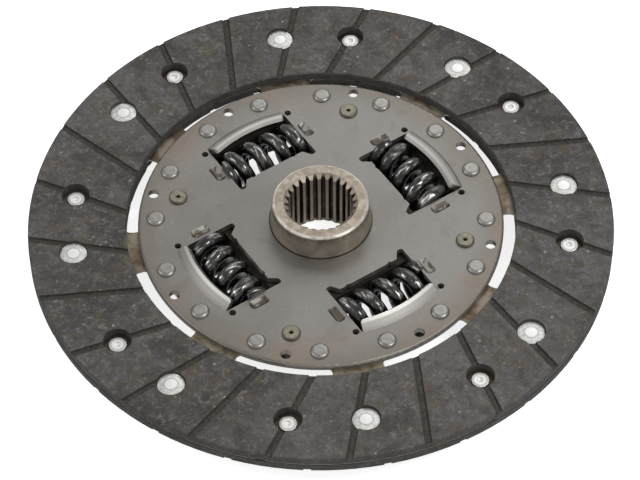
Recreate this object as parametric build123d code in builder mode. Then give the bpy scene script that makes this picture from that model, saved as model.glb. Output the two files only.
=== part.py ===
"""Clutch disc with a torsion damper: two grooved friction rings on spring segments, two windowed
plates that hold four coil springs, and a splined hub whose flange turns a few degrees between them.

Millimetres and degrees. The origin is on the hub's axis, in the plane of the hub's gearbox end,
and +Z points to the flywheel.
"""

import os
from math import asin, atan2, cos, degrees, hypot, isclose, pi, radians, sin, tan

from build123d import *

# ---------------------------------------------------------------- driving dimensions

# friction facings
facing_outer_radius = 114.0
facing_inner_radius = 76.0
facing_thickness = 3.5
facing_edge_break = 0.35
groove_count = 24
groove_width = 2.8
groove_depth = 1.0
groove_lean = 17.4           # each groove's angle from the radius through its middle
groove_phase = 4.5           # where the first groove crosses the ring's middle

# cushion segments, thin spring steel between the facings
segment_count = 8
segment_thickness = 0.8
segment_foot_inner_margin = 4.0  # of the foot, inside its rivets' circle
segment_foot_outer_margin = 6.0  # and outside it
segment_foot_half_angle = 15.6
segment_neck_half_angle = 7.75
segment_paddle_inset = 0.3     # from each rim of the facings
segment_paddle_gap = 2.4       # between neighbouring paddles
segment_neck_fillet = 2.2
segment_corner_fillet = 3.0    # on the paddle's two outer corners

# rivets through facings and segments, heads sunk below the friction face
facing_rivet_outset = 2.0      # from the middle of the ring to the rivets' circle
facing_rivet_head_radius = 5.2
facing_rivet_head_thickness = 1.0
facing_rivet_head_sink = 0.8
facing_rivet_shank_radius = 2.1
facing_rivet_tail_radius = 3.5
facing_rivet_tail_height = 0.9
facing_rivet_bore_radius = 1.2
facing_head_seat_clearance = 0.35
facing_access_hole_radius = 5.5
head_rivet_angle = -1.3     # from a segment's centre line to the rivet headed on the flywheel side
tail_rivet_angle = -18.4    # and to the rivet headed on the gearbox side

# drive plate, which carries the segments
facing_plate_gap = 4.7       # between the plate's rim and the facings
drive_plate_thickness = 2.5
drive_plate_rim_round = 1.1
assembly_hole_inset = 4.3    # from the plate's rim to the holes' circle
assembly_hole_radius = 2.1

# rivets through drive plate and segment feet
segment_rivet_inset = 6.9    # from the plate's rim to the rivets' circle
segment_rivet_angle = 11.6  # each side of a segment's centre line
segment_rivet_head_radius = 3.6
segment_rivet_head_height = 1.1
segment_rivet_flat_radius = 2.2  # of the flat on top of the head
segment_rivet_edge_height = 0.2
segment_rivet_shank_radius = 2.25
segment_rivet_tail_radius = 3.2
segment_rivet_tail_height = 1.1

# counter plate, on the gearbox side
counter_plate_margin = 5.5   # outside the windows' lips
counter_plate_thickness = 2.4
counter_plate_rim_round = 0.6

# spring windows in both plates
window_count = 4
window_length = 35.4
window_inner_margin = 1.0      # from the springs to the straight inner edge
window_horn_depth = 3.4        # corner notches reach this much closer to the axis
window_horn_length = 4.6       # along the window, at the notch's neck
window_horn_width = 2.2        # at the notch's tip
window_neck_round = 1.0
window_horn_round = 0.9
lip_rivet_gap = 3.8            # from the lips' roots to the segment rivets' heads
lip_lean = 37.0                # the bent-up lip's angle above its plate
lip_length = 5.8
lip_end_gap = 0.5
lip_bend_round = 1.6
lip_corner_round = 1.5
lip_land = 4.0                 # the lip's root merges with the plate over this width
relief_hole_radius = 1.35
relief_hole_inset = 0.2        # from the lips' root circle to the holes' circle
relief_hole_gap = 0.563        # along the window, past its end
dent_length = 8.0              # coined pits beside the window's ends
dent_width = 4.2
dent_depth = 1.0
dent_inset = 1.0               # from the springs' circle towards the axis
dent_gap = 1.1                 # left between a pit and the window's end
dent_taper_angle = 50.0
dent_round = 1.6

# stop pins, which join the two plates and limit the twist
stop_pin_radius = 4.25
stop_pin_tenon_radius = 2.75
stop_pin_head_radius = 3.6
stop_pin_head_height = 1.0
stop_pin_centre_radius = 1.1
twist_limit_angle = 8.0              # the plates turn this far each way from the hub

# hub with its flange
hub_top_length = 14.4          # from the flange to the flywheel end
hub_tail_length = 9.1          # from the flange to the gearbox end
hub_barrel_radius = 19.9
hub_nose_draft = 1.0           # the barrel narrows by this much to its flywheel end
hub_tail_step = 0.5            # the tail is this much smaller in radius
hub_edge_chamfer = 0.8
notch_overrun = 2.0            # the notches' cutting shape runs past the flange's rim
flange_thickness = 5.5
flange_margin = 2.5            # of the flange, outside the stop pins' circle
flange_window_round = 0.5
spline_teeth = 26
spline_major_radius = 14.06
spline_minor_radius = 12.6
spline_tooth_share = 0.38      # tooth width over pitch, at its tip
spline_flank_angle = 18.0
spline_mouth_chamfer = 1.9

# damper springs
spring_wire_radius = 2.8
spring_outer_radius = 9.2
spring_lip_gap = 4.6           # from each spring out to its lip's root
spring_turns = 4.6
spring_closed_turns = 0.9      # lie wire on wire at each end
spring_roll_angle = 65.0             # each spring's turn about its own axis

# friction washers, support washer and disc spring
friction_washer_thickness = 1.0
washer_window_gap = 2.5        # from the washers' rims to the windows
support_washer_thickness = 0.8
support_lug_width = 5.0
support_lug_length = 1.6
disc_spring_thickness = 0.9
disc_spring_height = 1.3

# clearances
rivet_hole_clearance = 0.1
bore_clearance = 0.3           # plate bores round the hub
washer_clearance = 0.5         # washer bores round the hub
spring_end_clearance = 0.05
spring_side_clearance = 0.6    # between each spring and its flange window
stop_pin_clearance = 0.3       # left between a pin and its notch at full twist
lug_clearance = 0.2
disc_spring_clearance = 1.1    # inside the support washer's lugs
disc_spring_bore_clearance = 1.3

# ---------------------------------------------------------------- heights, from the gearbox end up

flange_bottom = hub_tail_length
flange_top = flange_bottom + flange_thickness
hub_length = flange_top + hub_top_length
spring_height = (flange_bottom + flange_top) / 2

drive_plate_bottom = flange_top + friction_washer_thickness
drive_plate_top = drive_plate_bottom + drive_plate_thickness
segment_top = drive_plate_bottom
segment_bottom = segment_top - segment_thickness
segment_middle = (segment_top + segment_bottom) / 2
facing_top = segment_top + facing_thickness

support_top = flange_bottom - friction_washer_thickness
support_bottom = support_top - support_washer_thickness
counter_plate_top = support_bottom - disc_spring_height
counter_plate_bottom = counter_plate_top - counter_plate_thickness

# ---------------------------------------------------------------- radii, from the facings in

drive_plate_radius = facing_inner_radius - facing_plate_gap
assembly_hole_pitch_radius = drive_plate_radius - assembly_hole_inset
segment_rivet_pitch_radius = drive_plate_radius - segment_rivet_inset
segment_foot_inner_radius = segment_rivet_pitch_radius - segment_foot_inner_margin
segment_foot_outer_radius = segment_rivet_pitch_radius + segment_foot_outer_margin
lip_root_radius = segment_rivet_pitch_radius - segment_rivet_head_radius - lip_rivet_gap
relief_hole_pitch_radius = lip_root_radius - relief_hole_inset
counter_plate_radius = lip_root_radius + counter_plate_margin
stop_pin_pitch_radius = lip_root_radius
flange_radius = stop_pin_pitch_radius + flange_margin
spring_pitch_radius = lip_root_radius - spring_lip_gap - spring_outer_radius
window_inner_distance = spring_pitch_radius - spring_outer_radius - window_inner_margin
dent_distance = spring_pitch_radius - dent_inset
washer_outer_radius = window_inner_distance - washer_window_gap
hub_tail_radius = hub_barrel_radius - hub_tail_step
hub_nose_radius = hub_barrel_radius - hub_nose_draft

# ---------------------------------------------------------------- angles round the axis

segment_step = 360 / segment_count
segment_phase = segment_step / 2
head_rivet_phase = segment_phase + head_rivet_angle
tail_rivet_phase = segment_phase + tail_rivet_angle
window_step = 360 / window_count
window_phase = window_step / 2
relief_hole_reach = window_length / 2 + relief_hole_gap + relief_hole_radius
relief_hole_angle = degrees(asin(relief_hole_reach / relief_hole_pitch_radius))

os.makedirs("parts", exist_ok=True)


def save(piece, name):
    """Label a finished piece and write it as its own STEP file."""
    piece.part.label = name
    export_step(piece.part, f"parts/{name}.step")


def on_circle(radius, angle):
    """The point at this radius and angle in the XY plane."""
    return (radius * cos(radians(angle)), radius * sin(radians(angle)))


# ---------------------------------------------------------------- friction facings
# Both facings are the same moulded ring. The gearbox one is turned over about a line halfway
# between two rivets, so that each head seat faces an access hole.

facing_middle_radius = (facing_outer_radius + facing_inner_radius) / 2
facing_rivet_pitch_radius = facing_middle_radius + facing_rivet_outset
groove_length = 2 * (facing_outer_radius - facing_inner_radius)
turning_line_angle = (head_rivet_phase + tail_rivet_phase) / 2

with BuildPart() as facing_flywheel_side:
    with BuildSketch(Plane.XY.offset(segment_top)):
        Circle(facing_outer_radius)
        Circle(facing_inner_radius, mode=Mode.SUBTRACT)
    extrude(amount=facing_thickness)
    rims = facing_flywheel_side.edges().filter_by(GeomType.CIRCLE).group_by(Axis.Z)[-1]
    chamfer(rims, facing_edge_break)
    with BuildSketch(Plane.XY.offset(facing_top)):
        with PolarLocations(facing_middle_radius, groove_count, start_angle=groove_phase):
            Rectangle(groove_length, groove_width, rotation=-groove_lean)
    extrude(amount=-groove_depth, mode=Mode.SUBTRACT)
    with Locations(Plane.XY.offset(facing_top)):
        with PolarLocations(facing_rivet_pitch_radius, segment_count, start_angle=head_rivet_phase):
            CounterBoreHole(
                radius=facing_rivet_shank_radius + rivet_hole_clearance,
                counter_bore_radius=facing_rivet_head_radius + facing_head_seat_clearance,
                counter_bore_depth=facing_rivet_head_sink + facing_rivet_head_thickness,
            )
        with PolarLocations(facing_rivet_pitch_radius, segment_count, start_angle=tail_rivet_phase):
            Hole(facing_access_hole_radius)
save(facing_flywheel_side, "facing_flywheel_side")

turning_line = Axis((0, 0, segment_middle), (*on_circle(1, turning_line_angle), 0))
with BuildPart() as facing_gearbox_side:
    add(facing_flywheel_side.part.rotate(turning_line, 180))
save(facing_gearbox_side, "facing_gearbox_side")

# ---------------------------------------------------------------- facing rivets
# Semi-tubular rivets: a flat domed head sunk in one facing, and a tail rolled over the segment.

head_seat = facing_top - facing_rivet_head_sink - facing_rivet_head_thickness
head_face = head_seat + facing_rivet_head_thickness
head_rim = (facing_rivet_head_radius, head_face - facing_rivet_head_thickness / 2)
tail_end = segment_bottom - facing_rivet_tail_height

with BuildPart() as facing_rivet:
    with BuildSketch(Plane.XZ):
        with BuildLine():
            Polyline(
                (0, tail_end + segment_thickness),
                (facing_rivet_bore_radius, tail_end + segment_thickness / 2),
                (facing_rivet_bore_radius, tail_end),
                (facing_rivet_tail_radius, tail_end),
                (facing_rivet_tail_radius, segment_bottom),
                (facing_rivet_shank_radius, segment_bottom),
                (facing_rivet_shank_radius, head_seat),
                (facing_rivet_head_radius, head_seat),
                head_rim,
            )
            TangentArc((0, head_face), head_rim, tangent=(1, 0))
            Line((0, head_face), (0, tail_end + segment_thickness))
        make_face()
    revolve(axis=Axis.Z)
    tail_edges = facing_rivet.edges().filter_by(GeomType.CIRCLE).group_by(Axis.Z)[0]
    fillet(tail_edges.sort_by(SortBy.RADIUS)[-1], facing_rivet_tail_height / 2)

with BuildPart() as facing_rivets_flywheel_side:
    with PolarLocations(facing_rivet_pitch_radius, segment_count, start_angle=head_rivet_phase):
        add(facing_rivet.part)
save(facing_rivets_flywheel_side, "facing_rivets_flywheel_side")

with BuildPart() as facing_rivets_gearbox_side:
    add(facing_rivets_flywheel_side.part.rotate(turning_line, 180))
save(facing_rivets_gearbox_side, "facing_rivets_gearbox_side")

# ---------------------------------------------------------------- cushion segments
# A foot under the drive plate, a neck across the gap, and a wide paddle between the facings.

paddle_inner_radius = facing_inner_radius + segment_paddle_inset
paddle_outer_radius = facing_outer_radius - segment_paddle_inset
paddle_half_angle = segment_step / 2 - degrees(segment_paddle_gap / 2 / paddle_inner_radius)


def sector(inner_radius, outer_radius, half_angle):
    """A ring sector about the +X axis."""
    with BuildSketch() as shape:
        with BuildLine():
            inner_low = on_circle(inner_radius, -half_angle)
            inner_high = on_circle(inner_radius, half_angle)
            outer_low = on_circle(outer_radius, -half_angle)
            outer_high = on_circle(outer_radius, half_angle)
            Line(inner_low, outer_low)
            ThreePointArc(outer_low, (outer_radius, 0), outer_high)
            Line(outer_high, inner_high)
            ThreePointArc(inner_high, (inner_radius, 0), inner_low)
        make_face()
    return shape.sketch


with BuildPart() as cushion_segment:
    with BuildSketch(Plane.XY.offset(segment_bottom)) as blank:
        add(sector(segment_foot_inner_radius, segment_foot_outer_radius, segment_foot_half_angle))
        add(sector(segment_rivet_pitch_radius, facing_rivet_pitch_radius, segment_neck_half_angle))
        add(sector(paddle_inner_radius, paddle_outer_radius, paddle_half_angle))
        corners = blank.vertices()
        neck_corners = corners.filter_by(
            lambda corner: isclose(abs(atan2(corner.Y, corner.X)), radians(segment_neck_half_angle))
        )
        fillet(neck_corners, segment_neck_fillet)
        fillet(corners.sort_by(SortBy.DISTANCE)[-2:], segment_corner_fillet)
    extrude(amount=segment_thickness)
    with Locations(Plane.XY.offset(segment_top)):
        with Locations(
            on_circle(facing_rivet_pitch_radius, head_rivet_angle),
            on_circle(facing_rivet_pitch_radius, tail_rivet_angle),
        ):
            Hole(facing_rivet_shank_radius + rivet_hole_clearance)
        with Locations(
            on_circle(segment_rivet_pitch_radius, segment_rivet_angle),
            on_circle(segment_rivet_pitch_radius, -segment_rivet_angle),
        ):
            Hole(segment_rivet_shank_radius + rivet_hole_clearance)

for number in range(segment_count):
    with BuildPart() as placed_segment:
        add(cushion_segment.part.rotate(Axis.Z, segment_phase + number * segment_step))
    save(placed_segment, f"cushion_segment_{number + 1}")

# ---------------------------------------------------------------- plates with spring windows

lip_land_radius = lip_root_radius + lip_land
lip_half_angle = degrees(asin((window_length / 2 - lip_end_gap) / lip_root_radius))
lip_opening = sector(window_inner_distance + window_neck_round, lip_land_radius, lip_half_angle)


def window_outline():
    """One spring window about the +X axis, with its two corner notches and its round outer edge."""
    end = window_length / 2
    horn_tip = window_inner_distance - window_horn_depth
    outer_corner = (lip_root_radius * cos(asin(end / lip_root_radius)), end)
    with BuildSketch() as window:
        with BuildLine():
            upper = Polyline(
                (window_inner_distance, 0),
                (window_inner_distance, end - window_horn_length),
                (horn_tip, end - window_horn_width),
                (horn_tip, end),
                outer_corner,
            )
            mirror(upper, about=Plane.XZ)
            ThreePointArc(outer_corner, (lip_root_radius, 0), (outer_corner[0], -end))
        make_face()
        by_distance = window.vertices().sort_by(Axis.X)
        fillet(by_distance[:4], window_horn_round)
        fillet(by_distance[4:6], window_neck_round)
    return window.sketch


def bent_lip(thickness):
    """The lip over one window's outer edge, on a plate whose inner face lies in the XY plane."""
    rise = sin(radians(lip_lean))
    run = cos(radians(lip_lean))
    inner_tip = (lip_root_radius - lip_length * run, lip_length * rise)
    outer_tip = (inner_tip[0] + thickness * rise, inner_tip[1] + thickness * run)
    bend = (outer_tip[0] + (outer_tip[1] - thickness) * run / rise, thickness)
    with BuildPart() as lip:
        with BuildSketch(Plane.XZ) as section:
            with BuildLine():
                Polyline(
                    (lip_root_radius, 0),
                    inner_tip,
                    outer_tip,
                    bend,
                    (lip_land_radius, thickness),
                    (lip_land_radius, 0),
                    close=True,
                )
            make_face()
            corners = section.vertices()
            fillet(corners.sort_by_distance((bend[0], 0, bend[1]))[0], lip_bend_round)
            fillet(corners.sort_by_distance((lip_root_radius, 0, 0))[0], lip_bend_round + thickness)
        revolve(axis=Axis.Z, revolution_arc=2 * lip_half_angle)
        straight_edges = lip.edges().filter_by(GeomType.LINE)
        by_radius = straight_edges.sort_by(lambda edge: hypot(edge.center().X, edge.center().Y))
        fillet(by_radius[:2], lip_corner_round)
    return lip.part.rotate(Axis.Z, -lip_half_angle)


def windowed_plate(radius, thickness, rim_round):
    """A round plate, inner face in the XY plane, with its windows, lips and pin holes."""
    with BuildPart() as plate:
        with BuildSketch():
            Circle(radius)
            Circle(hub_barrel_radius + bore_clearance, mode=Mode.SUBTRACT)
            with PolarLocations(0, window_count, start_angle=window_phase):
                add(window_outline(), mode=Mode.SUBTRACT)
                add(lip_opening, mode=Mode.SUBTRACT)
            for side in (-1, 1):
                relief_phase = window_phase + side * relief_hole_angle
                with PolarLocations(relief_hole_pitch_radius, window_count, start_angle=relief_phase):
                    Circle(relief_hole_radius, mode=Mode.SUBTRACT)
            with PolarLocations(stop_pin_pitch_radius, window_count):
                Circle(stop_pin_tenon_radius + rivet_hole_clearance, mode=Mode.SUBTRACT)
        extrude(amount=thickness)
        outer_rim = plate.edges().filter_by(GeomType.CIRCLE).group_by(Axis.Z)[-1]
        fillet(outer_rim.sort_by(SortBy.RADIUS)[-1], rim_round)
        with PolarLocations(0, window_count, start_angle=window_phase):
            add(bent_lip(thickness))
    return plate.part


# The drive plate also carries the segments, and has coined pits beside its windows.

with BuildPart() as drive_plate:
    with Locations((0, 0, drive_plate_bottom)):
        add(windowed_plate(drive_plate_radius, drive_plate_thickness, drive_plate_rim_round))
    with Locations(Plane.XY.offset(drive_plate_top)):
        with PolarLocations(assembly_hole_pitch_radius, segment_count):
            Hole(assembly_hole_radius)
        for side in (-1, 1):
            rivet_phase = segment_phase + side * segment_rivet_angle
            with PolarLocations(segment_rivet_pitch_radius, segment_count, start_angle=rivet_phase):
                Hole(segment_rivet_shank_radius + rivet_hole_clearance)
    dent_offset = (window_length + dent_width) / 2 + dent_gap
    with BuildSketch(Plane.XY.offset(drive_plate_top)):
        with PolarLocations(0, window_count, start_angle=window_phase):
            with Locations((dent_distance, dent_offset), (dent_distance, -dent_offset)):
                RectangleRounded(dent_length, dent_width, dent_round)
    extrude(amount=-dent_depth, taper=dent_taper_angle, mode=Mode.SUBTRACT)
save(drive_plate, "drive_plate")

support_lug_radius = washer_outer_radius + support_lug_length / 2

with BuildPart() as counter_plate:
    with Locations(Location((0, 0, counter_plate_top), (180, 0, 0))):
        add(windowed_plate(counter_plate_radius, counter_plate_thickness, counter_plate_rim_round))
    with BuildSketch(Plane.XY.offset(counter_plate_top)):
        with PolarLocations(support_lug_radius, window_count):
            Rectangle(support_lug_length + 2 * lug_clearance, support_lug_width + 2 * lug_clearance)
    extrude(amount=-counter_plate_thickness, mode=Mode.SUBTRACT)
save(counter_plate, "counter_plate")

# ---------------------------------------------------------------- segment rivets
# Flat-topped heads with rounded rims on the drive plate, flat tails under the segment feet.

segment_rivet_tail_end = segment_bottom - segment_rivet_tail_height
segment_rivet_crown = drive_plate_top + segment_rivet_head_height
segment_rivet_rim = (segment_rivet_head_radius, drive_plate_top + segment_rivet_edge_height)

with BuildPart() as segment_rivet:
    with BuildSketch(Plane.XZ):
        with BuildLine():
            Polyline(
                (0, segment_rivet_tail_end),
                (segment_rivet_tail_radius, segment_rivet_tail_end),
                (segment_rivet_tail_radius, segment_bottom),
                (segment_rivet_shank_radius, segment_bottom),
                (segment_rivet_shank_radius, drive_plate_top),
                (segment_rivet_head_radius, drive_plate_top),
                segment_rivet_rim,
            )
            TangentArc((segment_rivet_flat_radius, segment_rivet_crown), segment_rivet_rim, tangent=(1, 0))
            Polyline(
                (segment_rivet_flat_radius, segment_rivet_crown),
                (0, segment_rivet_crown),
                (0, segment_rivet_tail_end),
            )
        make_face()
    revolve(axis=Axis.Z)

with BuildPart() as segment_rivets:
    for side in (-1, 1):
        rivet_phase = segment_phase + side * segment_rivet_angle
        with PolarLocations(segment_rivet_pitch_radius, segment_count, start_angle=rivet_phase):
            add(segment_rivet.part)
save(segment_rivets, "segment_rivets")

# ---------------------------------------------------------------- stop pins
# Shouldered pins between the plates, with both ends riveted over and centre-punched.

pin_bottom = counter_plate_bottom - stop_pin_head_height
pin_top = drive_plate_top + stop_pin_head_height

with BuildPart() as stop_pin:
    with BuildSketch(Plane.XZ):
        with BuildLine():
            Polyline(
                (0, pin_bottom + stop_pin_head_height),
                (stop_pin_centre_radius, pin_bottom),
                (stop_pin_head_radius - stop_pin_head_height / 2, pin_bottom),
                (stop_pin_head_radius, counter_plate_bottom - stop_pin_head_height / 2),
                (stop_pin_head_radius, counter_plate_bottom),
                (stop_pin_tenon_radius, counter_plate_bottom),
                (stop_pin_tenon_radius, counter_plate_top),
                (stop_pin_radius, counter_plate_top),
                (stop_pin_radius, drive_plate_bottom),
                (stop_pin_tenon_radius, drive_plate_bottom),
                (stop_pin_tenon_radius, drive_plate_top),
                (stop_pin_head_radius, drive_plate_top),
                (stop_pin_head_radius, drive_plate_top + stop_pin_head_height / 2),
                (stop_pin_head_radius - stop_pin_head_height / 2, pin_top),
                (stop_pin_centre_radius, pin_top),
                (0, pin_top - stop_pin_head_height),
                close=True,
            )
        make_face()
    revolve(axis=Axis.Z)

with BuildPart() as stop_pins:
    with PolarLocations(stop_pin_pitch_radius, window_count):
        add(stop_pin.part)
save(stop_pins, "stop_pins")

# ---------------------------------------------------------------- hub
# One forging: a barrel, a flange with four spring windows and four stop notches, and a splined bore.

notch_inner_radius = stop_pin_pitch_radius - stop_pin_radius - stop_pin_clearance
pin_half_angle = degrees(asin((stop_pin_radius + stop_pin_clearance) / stop_pin_pitch_radius))
stop_notch = sector(notch_inner_radius, flange_radius + notch_overrun, twist_limit_angle + pin_half_angle)
flange_window_width = 2 * (spring_outer_radius + spring_side_clearance)
spline_depth = spline_major_radius - spline_minor_radius
space_half_width = (1 - spline_tooth_share) * pi * spline_minor_radius / spline_teeth
flank_slope = tan(radians(spline_flank_angle))

with BuildPart() as hub:
    with BuildSketch(Plane.XZ):
        with BuildLine():
            Polyline(
                (0, 0),
                (hub_tail_radius - hub_edge_chamfer, 0),
                (hub_tail_radius, hub_edge_chamfer),
                (hub_tail_radius, flange_bottom),
                (hub_barrel_radius, flange_bottom),
                (hub_barrel_radius, drive_plate_top),
                (hub_nose_radius, hub_length - hub_edge_chamfer),
                (hub_nose_radius - hub_edge_chamfer, hub_length),
                (0, hub_length),
                close=True,
            )
        make_face()
    revolve(axis=Axis.Z)
    with BuildSketch(Plane.XY.offset(flange_bottom)) as flange:
        Circle(flange_radius)
        with PolarLocations(spring_pitch_radius, window_count, start_angle=window_phase):
            Rectangle(flange_window_width, window_length, mode=Mode.SUBTRACT)
        with PolarLocations(0, window_count):
            add(stop_notch, mode=Mode.SUBTRACT)
        fillet(flange.vertices().group_by(SortBy.DISTANCE)[0], flange_window_round)
    extrude(amount=flange_thickness)
    with BuildSketch():
        Circle(spline_minor_radius)
        with PolarLocations(0, spline_teeth):
            Polygon(
                (spline_minor_radius - spline_depth, space_half_width + spline_depth * flank_slope),
                (spline_major_radius, space_half_width - spline_depth * flank_slope),
                (spline_major_radius, -space_half_width + spline_depth * flank_slope),
                (spline_minor_radius - spline_depth, -space_half_width - spline_depth * flank_slope),
                align=None,
            )
    extrude(amount=hub_length, mode=Mode.SUBTRACT)
    for mouth_height, turn in ((0, 0), (hub_length, 180)):
        with Locations(Location((0, 0, mouth_height), (turn, 0, 0))):
            Cone(
                bottom_radius=spline_minor_radius + spline_mouth_chamfer,
                top_radius=spline_minor_radius,
                height=spline_mouth_chamfer,
                align=(Align.CENTER, Align.CENTER, Align.MIN),
                mode=Mode.SUBTRACT,
            )
save(hub, "hub")

# ---------------------------------------------------------------- friction washers and disc spring

with BuildPart() as friction_washer_flywheel_side:
    with BuildSketch(Plane.XY.offset(flange_top)):
        Circle(washer_outer_radius)
        Circle(hub_barrel_radius + washer_clearance, mode=Mode.SUBTRACT)
    extrude(amount=friction_washer_thickness)
save(friction_washer_flywheel_side, "friction_washer_flywheel_side")

with BuildPart() as friction_washer_gearbox_side:
    with BuildSketch(Plane.XY.offset(support_top)):
        Circle(washer_outer_radius)
        Circle(hub_barrel_radius + washer_clearance, mode=Mode.SUBTRACT)
    extrude(amount=friction_washer_thickness)
save(friction_washer_gearbox_side, "friction_washer_gearbox_side")

with BuildPart() as support_washer:
    with BuildSketch(Plane.XY.offset(support_bottom)):
        Circle(washer_outer_radius)
        with PolarLocations(washer_outer_radius, window_count):
            Rectangle(2 * support_lug_length, support_lug_width)
        Circle(hub_barrel_radius + washer_clearance, mode=Mode.SUBTRACT)
    extrude(amount=support_washer_thickness)
    with BuildSketch(Plane.XY.offset(support_bottom)):
        with PolarLocations(support_lug_radius, window_count):
            Rectangle(support_lug_length, support_lug_width)
    extrude(amount=-disc_spring_height - counter_plate_thickness / 2)
save(support_washer, "support_washer")

disc_spring_outer_radius = washer_outer_radius - disc_spring_clearance
disc_spring_inner_radius = hub_barrel_radius + disc_spring_bore_clearance

with BuildPart() as disc_spring:
    with BuildSketch(Plane.XZ):
        with BuildLine():
            Polyline(
                (disc_spring_inner_radius, counter_plate_top),
                (disc_spring_inner_radius, counter_plate_top + disc_spring_thickness),
                (disc_spring_outer_radius, support_bottom),
                (disc_spring_outer_radius, support_bottom - disc_spring_thickness),
                close=True,
            )
        make_face()
    revolve(axis=Axis.Z)
save(disc_spring, "disc_spring")

# ---------------------------------------------------------------- damper springs
# Heavy coil springs with closed, ground ends, one across each window.

coil_radius = spring_outer_radius - spring_wire_radius
spring_length = window_length - 2 * spring_end_clearance
closed_pitch = 2 * spring_wire_radius
open_turns = spring_turns - 2 * spring_closed_turns
open_pitch = (spring_length - 2 * spring_closed_turns * closed_pitch) / open_turns
points_per_turn = 12


def coil_height(turn):
    """Height of the wire's centre after this many turns, with the closed turns wire on wire."""
    if turn < spring_closed_turns:
        return turn * closed_pitch
    if turn > spring_turns - spring_closed_turns:
        return spring_length - (spring_turns - turn) * closed_pitch
    return spring_closed_turns * closed_pitch + (turn - spring_closed_turns) * open_pitch


coil_points = [
    (
        coil_radius * cos(2 * pi * step / points_per_turn),
        coil_radius * sin(2 * pi * step / points_per_turn),
        coil_height(step / points_per_turn) - spring_length / 2,
    )
    for step in range(round(spring_turns * points_per_turn) + 1)
]

with BuildPart() as coil:
    with BuildLine() as wire_path:
        wire = Spline(*coil_points)
    with BuildSketch(Plane(origin=wire @ 0, z_dir=wire % 0)):
        Circle(spring_wire_radius)
    sweep(path=wire_path.line, is_frenet=True)
    split(bisect_by=Plane.XY.offset(-spring_length / 2), keep=Keep.TOP)
    split(bisect_by=Plane.XY.offset(spring_length / 2), keep=Keep.BOTTOM)

for number in range(window_count):
    angle = window_phase + number * window_step
    window_middle = Plane(
        origin=(*on_circle(spring_pitch_radius, angle), spring_height),
        x_dir=(*on_circle(1, angle), 0),
        z_dir=(*on_circle(1, angle + 90), 0),
    )
    with BuildPart() as damper_spring:
        with Locations(window_middle):
            add(coil.part.rotate(Axis.Z, spring_roll_angle))
    save(damper_spring, f"damper_spring_{number + 1}")
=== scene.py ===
"""Clutch disc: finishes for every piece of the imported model, the stage, the lamps and the camera."""

from math import cos, pi, radians, sin

import bpy
from mathutils import Matrix, Vector


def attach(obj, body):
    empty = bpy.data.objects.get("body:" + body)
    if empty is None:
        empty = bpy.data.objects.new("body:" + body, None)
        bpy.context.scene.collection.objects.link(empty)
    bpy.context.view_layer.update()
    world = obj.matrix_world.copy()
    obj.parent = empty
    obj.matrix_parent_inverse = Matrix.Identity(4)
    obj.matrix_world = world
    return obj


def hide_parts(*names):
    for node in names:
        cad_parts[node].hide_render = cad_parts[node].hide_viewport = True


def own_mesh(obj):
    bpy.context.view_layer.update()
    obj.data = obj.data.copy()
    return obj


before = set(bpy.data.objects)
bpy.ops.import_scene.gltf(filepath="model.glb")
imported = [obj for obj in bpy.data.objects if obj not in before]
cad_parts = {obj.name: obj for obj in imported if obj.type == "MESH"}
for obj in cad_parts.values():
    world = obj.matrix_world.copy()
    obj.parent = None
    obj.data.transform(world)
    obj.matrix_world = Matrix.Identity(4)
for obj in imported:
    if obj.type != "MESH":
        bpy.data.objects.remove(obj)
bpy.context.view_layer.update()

# ------------------------------------------------------------------------------------------ hub
# The hub is one steel forging: a barrel, the flange hidden between the plates, and a splined
# bore. It is turned outside, broached inside, and carries a film of preserving oil that has
# gathered and browned in the spline's grooves.


class Socket:
    """An output in a material. Arithmetic on it adds Math nodes; node() adds any other node."""

    def __init__(self, tree, output=None):
        self.tree = tree
        self.output = output

    def node(self, kind, settings, sockets, result=0):
        """Add a node: its settings first, then the values or links of its sockets."""
        made = self.tree.nodes.new(kind)
        for setting, value in settings.items():
            setattr(made, setting, value)
        for key, value in sockets.items():
            if isinstance(value, Socket):
                self.tree.links.new(value.output, made.inputs[key])
            else:
                made.inputs[key].default_value = value
        return Socket(self.tree, made.outputs[result])

    def maths(self, operation, first, second=0.0):
        return self.node("ShaderNodeMath", {"operation": operation}, {0: first, 1: second})

    def __add__(self, other):
        return self.maths("ADD", self, other)

    __radd__ = __add__

    def __sub__(self, other):
        return self.maths("SUBTRACT", self, other)

    def __rsub__(self, other):
        return self.maths("SUBTRACT", other, self)

    def __mul__(self, other):
        return self.maths("MULTIPLY", self, other)

    __rmul__ = __mul__

    def __gt__(self, other):
        return self.maths("GREATER_THAN", self, other)

    def __lt__(self, other):
        return self.maths("LESS_THAN", self, other)

    def __abs__(self):
        return self.maths("ABSOLUTE", self)

    def between(self, low, high):
        """0 below low, 1 above high and smooth between; high may be the lower one."""
        return self.node(
            "ShaderNodeMapRange",
            {"interpolation_type": "SMOOTHSTEP"},
            {"Value": self, "From Min": low, "From Max": high},
        )

    def blend(self, plain, marked):
        """The plain colour where this is 0 and the marked one where it is 1."""
        colours = [(*value, 1) if isinstance(value, tuple) else value for value in (plain, marked)]
        return self.node(
            "ShaderNodeMix", {"data_type": "RGBA"}, {0: self, 6: colours[0], 7: colours[1]}, result=2
        )


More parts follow.
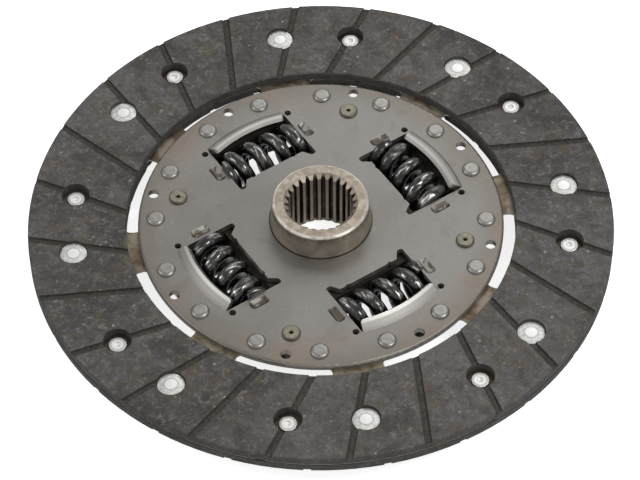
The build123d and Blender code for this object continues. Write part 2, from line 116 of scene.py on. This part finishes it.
class Finish:
    """One material on a Principled shader, with the places on the part that its marks depend on."""

    def __init__(self, name, **constants):
        self.material = bpy.data.materials.new(name)
        self.material.use_nodes = True
        tree = self.material.node_tree
        self.shader = tree.nodes["Principled BSDF"]
        self.start = Socket(tree)
        for socket, value in constants.items():
            self.shader.inputs[socket.replace("_", " ")].default_value = value
        self.place = self.start.node("ShaderNodeTexCoord", {}, {}, result="Object")
        self.x, self.y, self.height = self.parts_of(self.place)
        self.radius = self.start.maths("SQRT", self.x * self.x + self.y * self.y)

    def parts_of(self, vector):
        apart = self.start.node("ShaderNodeSeparateXYZ", {}, {0: vector})
        return [Socket(self.start.tree, output) for output in apart.output.node.outputs]

    def facing_up(self):
        """1 on faces that lie level, whichever way up, and 0 on upright walls."""
        normal = self.start.node("ShaderNodeTexCoord", {}, {}, result="Normal")
        return abs(self.parts_of(normal)[2]).between(0.5, 0.8)

    def beside_nearest(self, count, first):
        """How far out and how far aside, from the nearest of some directions equally spaced."""
        step = 2 * pi / count
        angle = self.start.maths("ARCTAN2", self.y, self.x) - radians(first)
        folded = self.start.node(
            "ShaderNodeMath", {"operation": "WRAP"}, {0: angle, 1: step / 2, 2: -step / 2}
        )
        return [self.radius * self.start.maths(turn, folded) for turn in ("COSINE", "SINE")]

    def from_nearest(self, circle, count, first):
        """Distance in the disc's plane from the nearest of some centres equally spaced round it."""
        outward, aside = self.beside_nearest(count, first)
        outward = outward - circle
        return self.start.maths("SQRT", outward * outward + aside * aside)

    def noise(self, size, detail=3.0, warp=0.0, place=None):
        """Soft noise whose blotches are about this many metres across."""
        return self.start.node(
            "ShaderNodeTexNoise",
            {},
            {
                "Vector": place or self.place,
                "Scale": 1 / size,
                "Detail": detail,
                "Distortion": warp,
            },
        )

    def flecks(self, size, share):
        """Small separate grains, 1 inside and 0 outside. The share is of cells that hold one."""
        grain_radius = 0.34  # in cells
        cell = {"Vector": self.place, "Scale": 1 / size, "Randomness": 1.0}
        near = self.start.node("ShaderNodeTexVoronoi", {}, cell)
        tint = self.start.node("ShaderNodeTexVoronoi", {}, cell, result=1)
        chance = self.start.node("ShaderNodeSeparateColor", {}, {0: tint})
        return (near < grain_radius) * (chance < share)

    def bump(self, height, depth):
        """Relief of this depth in metres, from heights between 0 and 1."""
        return self.start.node(
            "ShaderNodeBump", {}, {"Height": height, "Strength": 1.0, "Distance": depth}
        )

    def feed(self, **sockets):
        for name, value in sockets.items():
            self.start.tree.links.new(value.output, self.shader.inputs[name.replace("_", " ")])

    def dress(self, *nodes):
        for name in nodes:
            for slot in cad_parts[name].material_slots:
                slot.material = self.material


groove_radius = 0.0127
bore_radius = 0.0145
mouth_depth = 0.0022
mouth_edge = 0.0006
hub_length = 0.029
nose_chamfer = 0.0008
chamfer_radius = 0.0181
chamfer_height = hub_length - nose_chamfer
plate_top = 0.0181
wall_radius = 0.0185
flange_starts = 0.0215

forged = Finish("oiled_forged_steel", Metallic=0.85)
film = forged.noise(0.006, detail=4.0, warp=0.6)
grain = forged.noise(0.0007, detail=2.0)
blotches = forged.noise(0.0032, detail=4.0, warp=0.8)
outline = forged.start.node("ShaderNodeCombineXYZ", {}, {0: forged.radius, 1: forged.height})
turning_marks = forged.noise(0.00025, place=outline)
in_bore = (
    (forged.radius < bore_radius)
    * forged.height.between(mouth_depth - mouth_edge, mouth_depth)
    * forged.height.between(hub_length - mouth_depth + mouth_edge, hub_length - mouth_depth)
)
in_groove = in_bore * forged.radius.between(groove_radius, groove_radius + 0.0004)
steel = film.between(0.35, 0.7).blend((0.33, 0.288, 0.233), (0.44, 0.392, 0.330))
# Painted shade: a dark band, broken into blotches, round the barrel just under its top end.
shade_under_top = forged.height.between(plate_top + 0.0059, plate_top + 0.0091)
shade_under_top = shade_under_top * (forged.radius > chamfer_radius) * (0.1 + 0.9 * blotches.between(0.35, 0.65))
steel = (shade_under_top * 0.6).blend(steel, (0.13, 0.098, 0.07))
# Painted shadow: a thin dark line round the barrel's foot, where it meets the drive plate.
foot_shadow = forged.height.between(plate_top + 0.0007, plate_top + 0.0001)
foot_shadow = foot_shadow * (forged.height > plate_top - 0.0006) * (forged.radius > wall_radius)
steel = (foot_shadow * 0.8).blend(steel, (0.035, 0.027, 0.020))
nose = forged.height > chamfer_height + 0.0003
end_face = nose * forged.radius.between(chamfer_radius - 0.0003, chamfer_radius - 0.0005)
end_face = end_face * (0.1 + 0.6 * blotches.between(0.38, 0.62))
steel = end_face.blend(steel, (0.19, 0.165, 0.13))
# Painted highlight: a pale line along the chamfer round the top end's outer edge, with pale grain
# specks on the end face added to it.
edge_highlight = forged.height.between(chamfer_height, chamfer_height + 0.0004)
edge_highlight = edge_highlight * forged.radius.between(chamfer_radius - 0.00025, chamfer_radius + 0.00005)
edge_highlight = edge_highlight * (0.35 + 0.65 * film.between(0.35, 0.6))
highlight_and_specks = edge_highlight + 0.25 * grain.between(0.60, 0.78) * nose
steel = highlight_and_specks.blend(steel, (0.74, 0.71, 0.65))
brown_oil = film.between(0.4, 0.65).blend((0.040, 0.026, 0.016), (0.105, 0.078, 0.050))
steel = in_groove.blend(steel, brown_oil)
on_flange = forged.radius.between(flange_starts, flange_starts + 0.001)
forged.feed(
    Base_Color=on_flange.blend(steel, (0.052, 0.046, 0.040)),
    Roughness=0.36 + 0.2 * film + 0.2 * on_flange,
    Normal=forged.bump(turning_marks * 0.5 + grain * 0.5, 0.00005),
)
forged.dress("hub")

# -------------------------------------------------------------------------------- friction washers
# Two flat rings of glass-filled plastic, one each side of the hub's flange. They damp the
# disc's twisting by rubbing, and lie loose round the hub between flange and plates.

rubbing_plastic = Finish("glass_filled_plastic")
glass_fibre = rubbing_plastic.noise(0.0004, detail=2.0, warp=1.5)
rubbing_plastic.feed(
    Base_Color=glass_fibre.between(0.45, 0.75).blend((0.030, 0.026, 0.022), (0.075, 0.066, 0.055)),
    Roughness=0.5 + 0.25 * glass_fibre,
    Normal=rubbing_plastic.bump(glass_fibre, 0.00002),
)
rubbing_plastic.dress("friction_washer_flywheel_side", "friction_washer_gearbox_side")

# --------------------------------------------------------------- support washer and disc spring
# The support washer is stamped steel with four bent lugs that keep it from turning. The disc
# spring behind it is a shallow cone of hardened spring steel, blued by tempering.

tempered = Finish("tempered_washer_steel", Metallic=1.0)
temper = tempered.noise(0.009, detail=3.0)
tempered.feed(
    Base_Color=temper.between(0.3, 0.7).blend((0.16, 0.13, 0.10), (0.13, 0.14, 0.17)),
    Roughness=0.35 + 0.25 * temper,
    Normal=tempered.bump(tempered.noise(0.0003), 0.000015),
)
tempered.dress("support_washer", "disc_spring")

# ------------------------------------------------------------------------------- damper springs
# Four coils of heavy black wire, wound cold, with closed ends ground flat. They are wet with
# oil, and grey dust sticks to it in patches. They lie loose in the windows of hub and plates,
# and shorten between them as the disc twists.

window_count = 4
window_phase = 45.0
spring_height = 0.01185
streak_stretch = 0.16

coil = Finish("oiled_black_wire", Coat_Roughness=0.06)
outward, aside = coil.beside_nearest(window_count, window_phase)
along_wire = coil.start.node(
    "ShaderNodeCombineXYZ",
    {},
    {0: aside, 1: outward * streak_stretch, 2: coil.height * streak_stretch},
)
oil = coil.noise(0.0045, detail=3.0, warp=1.0)
streak = coil.noise(0.0009, detail=4.0, warp=0.5, place=along_wire)
dust = coil.noise(0.0070, detail=3.0, warp=0.8).between(0.54, 0.68) * streak.between(0.35, 0.60)
# Painted highlight: pale streaks, partly bare steel, are laid mostly on the wire's upward-facing
# crests, standing in for the lamps' glints.
crest = coil.facing_up() * (coil.height > spring_height + 0.00015)
bare_and_highlight = streak.between(0.52, 0.62) * oil.between(0.36, 0.52) * (0.15 + 0.85 * crest)
wire_colour = oil.between(0.35, 0.70).blend((0.012, 0.012, 0.011), (0.040, 0.039, 0.037))
wire_colour = (bare_and_highlight * 0.85).blend(wire_colour, (0.52, 0.51, 0.49))
coil.feed(
    Base_Color=(dust * 0.5).blend(wire_colour, (0.105, 0.090, 0.078)),
    Metallic=0.9 - 0.7 * dust,
    Roughness=0.13 + 0.22 * oil.between(0.3, 0.7) + 0.3 * dust,
    Coat_Weight=0.9 - 0.7 * dust,
    Normal=coil.bump(streak * 0.6 + oil * 0.4, 0.00036),
)

for number in range(window_count):
    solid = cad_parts[f"damper_spring_{number + 1}"]
    wound_wire = solid.data.copy()
    wound_wire.materials.clear()
    wound_wire.materials.append(coil.material)
    spring = bpy.data.objects.new(f"coil_{number + 1}", wound_wire)
    bpy.context.scene.collection.objects.link(spring)
    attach(spring, "springs")
    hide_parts(solid.name)
    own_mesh(spring)

# --------------------------------------------------------------------- drive and counter plates
# Both plates are pressed from the same sheet steel, deburred by tumbling and lightly oiled. The lips
# bent over the springs are a little rubbed, and painted pale as a highlight along their edges and,
# more strongly, on the half away from the camera. The coined pits hold grime and painted shade, the
# cut walls are bare steel painted paler as a highlight, and the faces between the plates carry
# painted shade under the springs and painted light beyond them.

lip_edge = 0.0200
drive_plate_bottom = 0.0156
counter_plate_bottom = 0.0036
counter_lip_edge = 0.0017
pit_circle = 0.0471
pit_angle = 26.35
pit_reach = 0.0048
shade_radius = 0.055
rim_starts = 0.058
plate_radius = 0.071

sheet = Finish("tumbled_sheet_steel", Metallic=1.0)
clouds = sheet.noise(0.035, detail=3.0, warp=0.4)
tumble = sheet.noise(0.0011, detail=3.0)
scratch = sheet.noise(0.0035, detail=5.0, warp=2.5)
smudge = sheet.noise(0.010, detail=3.0, warp=0.5)
on_lip = sheet.height.between(plate_top + 0.0003, plate_top + 0.0012) + sheet.height.between(
    counter_plate_bottom - 0.0003, counter_plate_bottom - 0.0012
)
on_edge = sheet.height.between(lip_edge, lip_edge + 0.0004) + sheet.height.between(
    counter_lip_edge, counter_lip_edge - 0.0004
)
# Painted highlight: the lips' top edges, and more strongly the lips on the half away from the camera,
# are painted pale; a little on every lip is rubbing.
far_half = sheet.y.between(-0.01, 0.01)
rubbed_and_highlit = on_lip * (0.08 + 0.35 * far_half) + on_edge * 0.45 * (0.4 + 0.6 * clouds)
from_pit = sheet.start.maths(
    "MINIMUM",
    sheet.from_nearest(pit_circle, window_count, window_phase - pit_angle),
    sheet.from_nearest(pit_circle, window_count, window_phase + pit_angle),
)
in_pit = from_pit.between(pit_reach, pit_reach - 0.001)
in_pit = in_pit * sheet.height.between(plate_top, plate_top - 0.0004)
# Bare sheared steel on the cut walls, painted paler still as a highlight.
sheared_and_highlit = (1 - sheet.facing_up()) * (sheet.height < plate_top - 0.0001)
between_plates = (sheet.height < drive_plate_bottom - 0.001) * (
    sheet.height > counter_plate_bottom + 0.001
)
# Painted shade: between the plates, the faces inside the ring of springs are darkened.
shade_under_springs = between_plates * sheet.radius.between(shade_radius, shade_radius - 0.003)
# Painted light: between the plates, beyond the springs, the faces are painted pale, so the holes in
# the drive plate look onto bright metal though it lies in shade.
lit_rim_between_plates = between_plates * sheet.radius.between(shade_radius, shade_radius + 0.002)
rim_tint = sheet.radius.between(rim_starts, plate_radius)
skin = clouds.between(0.3, 0.7).blend((0.178, 0.170, 0.156), (0.222, 0.216, 0.202))
skin = (rim_tint * 0.7).blend(skin, (0.164, 0.148, 0.122))
skin = (smudge.between(0.55, 0.72) * 0.25).blend(skin, (0.12, 0.105, 0.085))
skin = (scratch.between(0.58, 0.66) * 0.16).blend(skin, (0.33, 0.32, 0.29))
rusty = sheet.noise(0.022, detail=3.0, warp=0.8).between(0.45, 0.68)
rusty = rusty * sheet.radius.between(rim_starts - 0.008, rim_starts + 0.008)
skin = (rusty * 0.4).blend(skin, (0.235, 0.172, 0.142))
skin = (sheared_and_highlit * 0.75).blend(skin, (0.52, 0.50, 0.46))
# Grime and painted shade: the coined pits are darkened in uneven patches.
grime_and_shade = sheet.noise(0.0045, detail=3.0, warp=0.6).between(0.44, 0.54)
skin = (in_pit * 0.85 * grime_and_shade).blend(skin, (0.070, 0.055, 0.043))
skin = (shade_under_springs * 0.8).blend(skin, (0.066, 0.060, 0.052))
skin = (lit_rim_between_plates * 0.9).blend(skin, (0.85, 0.83, 0.79))
sheet.feed(
    Base_Color=rubbed_and_highlit.blend(skin, (0.78, 0.77, 0.73)),
    Roughness=0.40 + 0.14 * clouds,
    Normal=sheet.bump(tumble * 0.7 + scratch * 0.3, 0.00003),
)
sheet.dress("drive_plate", "counter_plate")

# ------------------------------------------------------------------------------------ stop pins
# Four shouldered pins hold the plates apart and stop the hub's turning. Their ends are riveted
# over, punched in the middle, and yellow-passivated to a dull olive.

pin_count = 4
pin_circle = 0.057
pin_head_radius = 0.0036
punch_radius = 0.0009

olive = Finish("passivated_pin_steel", Metallic=0.8)
spread = olive.noise(0.0016, detail=3.0, warp=0.5)
from_punch = olive.from_nearest(pin_circle, pin_count, 0.0)
punched = from_punch.between(punch_radius, punch_radius * 0.7)
turned_rim = from_punch.between(pin_head_radius - 0.0009, pin_head_radius - 0.0003)
passivated = spread.between(0.3, 0.7).blend((0.165, 0.152, 0.112), (0.270, 0.255, 0.200))
passivated = (turned_rim * 0.75).blend(passivated, (0.075, 0.064, 0.045))
olive.feed(
    Base_Color=punched.blend(passivated, (0.006, 0.005, 0.004)),
    Roughness=0.38 + 0.25 * spread,
    Normal=olive.bump(spread, 0.00006),
)
olive.dress("stop_pins")

# ----------------------------------------------------------------------------- cushion segments
# Eight paddles of thin spring steel carry the facings and let them give when the clutch bites.
# Tempering leaves them bronze, and the sheared edges stay bright.

segment_count = 8
facing_inside = 0.076

bronzed = Finish("bronzed_spring_steel", Metallic=0.9)
temper_cloud = bronzed.noise(0.007, detail=4.0, warp=0.9)
bronze = temper_cloud.between(0.35, 0.65).blend((0.090, 0.064, 0.043), (0.225, 0.195, 0.150))
# Painted shade: the segments are darkened where they pass in between the two facings.
shade_between_facings = bronzed.radius.between(facing_inside - 0.0005, facing_inside + 0.0005)
bronze = (shade_between_facings * 0.7).blend(bronze, (0.040, 0.031, 0.024))
sheared_edge = 1 - bronzed.facing_up()
bronzed.feed(
    Base_Color=sheared_edge.blend(bronze, (0.46, 0.44, 0.38)),
    Roughness=0.38 + 0.2 * temper_cloud,
    Normal=bronzed.bump(bronzed.noise(0.0006), 0.00002),
)
bronzed.dress(*(f"cushion_segment_{number + 1}" for number in range(segment_count)))

# ------------------------------------------------------------------------------- segment rivets
# Sixteen steel rivets, their heads flat on top with rounded edges, clamp the segments' feet
# under the drive plate. They are oiled with the plate and have nearly its grey.

tumbled = Finish("grey_rivet_steel", Metallic=1.0)
dull_spots = tumbled.noise(0.0016, detail=3.0)
tumbled.feed(
    Base_Color=dull_spots.between(0.3, 0.7).blend((0.20, 0.192, 0.178), (0.27, 0.262, 0.245)),
    Roughness=0.30 + 0.16 * dull_spots,
    Normal=tumbled.bump(dull_spots, 0.00003),
)
tumbled.dress("segment_rivets")

# -------------------------------------------------------------------------------------- facings
# Both facings are moulded friction compound: yarn wound in loops, with resin, rubber, and brass
# swarf. The faces are ground flat, which opens the yarn into pale wisps, and the grooves are
# milled and stay darker.

ring_middle_height = 0.0152
land_height = 0.0039
groove_floor_height = 0.0029

compound = Finish("wound_friction_compound")
above_middle = abs(compound.height - ring_middle_height)
level_face = compound.facing_up()
on_floor = level_face * above_middle.between(land_height - 0.0002, groove_floor_height + 0.0002)
on_wall = 1 - level_face
weathering = compound.noise(0.060, detail=2.0)
patches = compound.noise(0.013, detail=4.0, warp=0.9)
elsewhere = compound.start.node(
    "ShaderNodeVectorMath", {"operation": "ADD"}, {0: compound.place, 1: (0.31, 0.17, 0.0)}
)
rust = compound.noise(0.010, detail=3.0, warp=1.4, place=elsewhere)
loops = compound.noise(0.0085, detail=3.0, warp=1.8)
yarn = abs(loops - 0.5).between(0.035, 0.006)
cross_loops = compound.noise(0.0075, detail=3.0, warp=2.0, place=elsewhere)
torn = abs(cross_loops - 0.5).between(0.05, 0.01)
powder = compound.noise(0.0011, detail=4.0)
worked = compound.noise(0.0042, detail=4.0, warp=0.8, place=elsewhere)
ground = patches.between(0.32, 0.68).blend((0.046, 0.043, 0.041), (0.086, 0.082, 0.080))
ground = (weathering.between(0.50, 0.62) * 0.5).blend(ground, (0.104, 0.101, 0.098))
ground = (weathering.between(0.50, 0.36) * 0.5).blend(ground, (0.038, 0.037, 0.033))
ground = (rust.between(0.50, 0.68) * 0.7).blend(ground, (0.084, 0.066, 0.047))
ground = (worked.between(0.50, 0.72) * 0.55).blend(ground, (0.122, 0.118, 0.112))
ground = (worked.between(0.46, 0.30) * 0.6).blend(ground, (0.040, 0.038, 0.034))
ground = (torn * powder.between(0.38, 0.6) * 0.5).blend(ground, (0.032, 0.030, 0.027))
ground = (yarn * powder.between(0.42, 0.62) * worked.between(0.35, 0.6) * 0.55).blend(
    ground, (0.185, 0.180, 0.172)
)
ground = (powder.between(0.50, 0.74) * 0.35).blend(ground, (0.150, 0.145, 0.138))
ground = (compound.flecks(0.0015, 0.012) * 0.5).blend(ground, (0.26, 0.20, 0.11))
ground = (compound.flecks(0.0018, 0.010) * 0.6).blend(ground, (0.27, 0.265, 0.25))
ground = (on_wall * 0.45).blend(ground, (0.040, 0.038, 0.035))
milled = powder.between(0.3, 0.7).blend((0.030, 0.028, 0.023), (0.060, 0.055, 0.045))
compound.feed(
    Base_Color=on_floor.blend(ground, milled),
    Roughness=0.93 - 0.2 * yarn,
    Normal=compound.bump(powder * 0.5 + worked * 0.5, 0.00022),
)
compound.shader.inputs["Specular IOR Level"].default_value = 0.35
compound.dress("facing_flywheel_side", "facing_gearbox_side")

# -------------------------------------------------------------------------------- facing rivets
# Sixteen semi-tubular rivets, half of them headed on each side, hold the facings to the
# segments. They are plated bright, and the setting tool leaves a darker ring round the
# burnished middle of each head.

rivet_circle = 0.097
flywheel_side_phase = 21.2
gearbox_side_phase = 4.1
ring_radius = 0.0026

plated = Finish("bright_plated_rivet", Metallic=0.9)
tool_marks = plated.noise(0.0012, detail=4.0, warp=0.7)
from_head = plated.start.maths(
    "MINIMUM",
    plated.from_nearest(rivet_circle, segment_count, flywheel_side_phase),
    plated.from_nearest(rivet_circle, segment_count, gearbox_side_phase),
)
pressed = from_head.between(ring_radius + 0.0001, ring_radius - 0.0004)
tool_ring = from_head.between(ring_radius - 0.0005, ring_radius - 0.0001)
tool_ring = tool_ring * from_head.between(ring_radius + 0.0005, ring_radius + 0.0001)
zinc = tool_marks.between(0.35, 0.65).blend((0.46, 0.46, 0.44), (0.64, 0.64, 0.62))
zinc = pressed.blend(zinc, (0.70, 0.70, 0.69))
zinc = (tool_ring * 0.6).blend(zinc, (0.34, 0.34, 0.32))
plated.feed(
    Base_Color=zinc,
    Roughness=0.44 + 0.16 * tool_marks,
    Normal=plated.bump(tool_marks * 0.6 + tool_ring * 0.4, 0.00006),
)
plated.dress("facing_rivets_flywheel_side", "facing_rivets_gearbox_side")

# ------------------------------------------------------------------------- floor, sky and lamps
# The disc stands on its hub on a white table, under a white sky. Both look white to the camera
# and are dimmer where the metal mirrors them, so that three soft lamps shape it.

reach = 6.0
white_seen = 0.80
white_mirrored = 0.3
fill_strength = 0.55
sky_mirrored = 0.15


def ray_kinds(start, *kinds):
    """1 for the light rays of each kind, 0 for the others."""
    path = start.node("ShaderNodeLightPath", {}, {}).output.node
    return [Socket(start.tree, path.outputs[f"Is {kind} Ray"]) for kind in kinds]


table_mesh = bpy.data.meshes.new("table")
corners = [(-reach, -reach, 0), (reach, -reach, 0), (reach, reach, 0), (-reach, reach, 0)]
table_mesh.from_pydata(corners, [], [(0, 1, 2, 3)])
table = bpy.data.objects.new("table", table_mesh)
bpy.context.scene.collection.objects.link(table)

table_finish = bpy.data.materials.new("white_table")
table_finish.use_nodes = True
table_tree = Socket(table_finish.node_tree)
paint = table_finish.node_tree.nodes["Principled BSDF"]
paint.inputs["Base Color"].default_value = (0.80, 0.80, 0.80, 1)
paint.inputs["Roughness"].default_value = 0.9
paint.inputs["Specular IOR Level"].default_value = 0.0
seen, mirrored, through = ray_kinds(table_tree, "Camera", "Glossy", "Transmission")
strength = (seen + through) * white_seen + mirrored * white_mirrored
glow = table_tree.node("ShaderNodeEmission", {}, {"Color": (1, 1, 1, 1), "Strength": strength})
both = table_tree.node(
    "ShaderNodeAddShader", {}, {0: Socket(table_finish.node_tree, paint.outputs[0]), 1: glow}
)
table_finish.node_tree.links.new(
    both.output, table_finish.node_tree.nodes["Material Output"].inputs["Surface"]
)
table_mesh.materials.append(table_finish)

sky = bpy.data.worlds.new("studio")
sky.use_nodes = True
seen, mirrored, through = ray_kinds(Socket(sky.node_tree), "Camera", "Glossy", "Transmission")
strength = fill_strength + (1 - fill_strength) * (seen + through) + sky_mirrored * mirrored
air = sky.node_tree.nodes["Background"]
air.inputs["Color"].default_value = (1, 1, 1, 1)
sky.node_tree.links.new(strength.output, air.inputs["Strength"])
bpy.context.scene.world = sky


def lamp(name, azimuth, elevation, distance, size, power):
    """A square soft lamp that faces the disc. Azimuth 0 is in front, 90 to the right."""
    light = bpy.data.lights.new(name, "AREA")
    light.size = size
    light.energy = power
    housing = bpy.data.objects.new(name, light)
    level = Vector((sin(radians(azimuth)), -cos(radians(azimuth)), 0))
    direction = level * cos(radians(elevation)) + Vector((0, 0, sin(radians(elevation))))
    housing.location = direction * distance
    housing.rotation_euler = direction.to_track_quat("Z", "Y").to_euler()
    bpy.context.scene.collection.objects.link(housing)


lamp("front_right", azimuth=75.0, elevation=55.0, distance=1.3, size=0.34, power=6.6)
lamp("left_side", azimuth=-75.0, elevation=40.0, distance=1.4, size=0.5, power=3.4)
lamp("behind", azimuth=175.0, elevation=42.0, distance=1.4, size=0.8, power=4.0)

# --------------------------------------------------------------------------------------- camera
# A long lens about a metre off, a little over 50 degrees above the disc's plane, rolled by
# half a degree.

turned = Matrix.Rotation(radians(11.76), 3, "Z")
raised = 0.88978  # radians
rolled = -0.0108  # radians
distance = 1.0928
aim_point = turned @ Vector((-0.0004, -0.01139, 0.0191))

forward = turned @ Vector((0, cos(raised), -sin(raised)))
level = turned @ Vector((1, 0, 0))
upward = level.cross(forward)
right = cos(rolled) * level + sin(rolled) * upward
top = cos(rolled) * upward - sin(rolled) * level
orientation = Matrix((right, top, -forward)).transposed().to_4x4()

lens = bpy.data.cameras.new("camera")
lens.sensor_width = 36.0
lens.lens = 158.87
camera = bpy.data.objects.new("camera", lens)
camera.matrix_world = Matrix.Translation(aim_point - distance * forward) @ orientation
bpy.context.scene.collection.objects.link(camera)
bpy.context.scene.camera = camera
bpy.context.scene.view_settings.view_transform = "Standard"
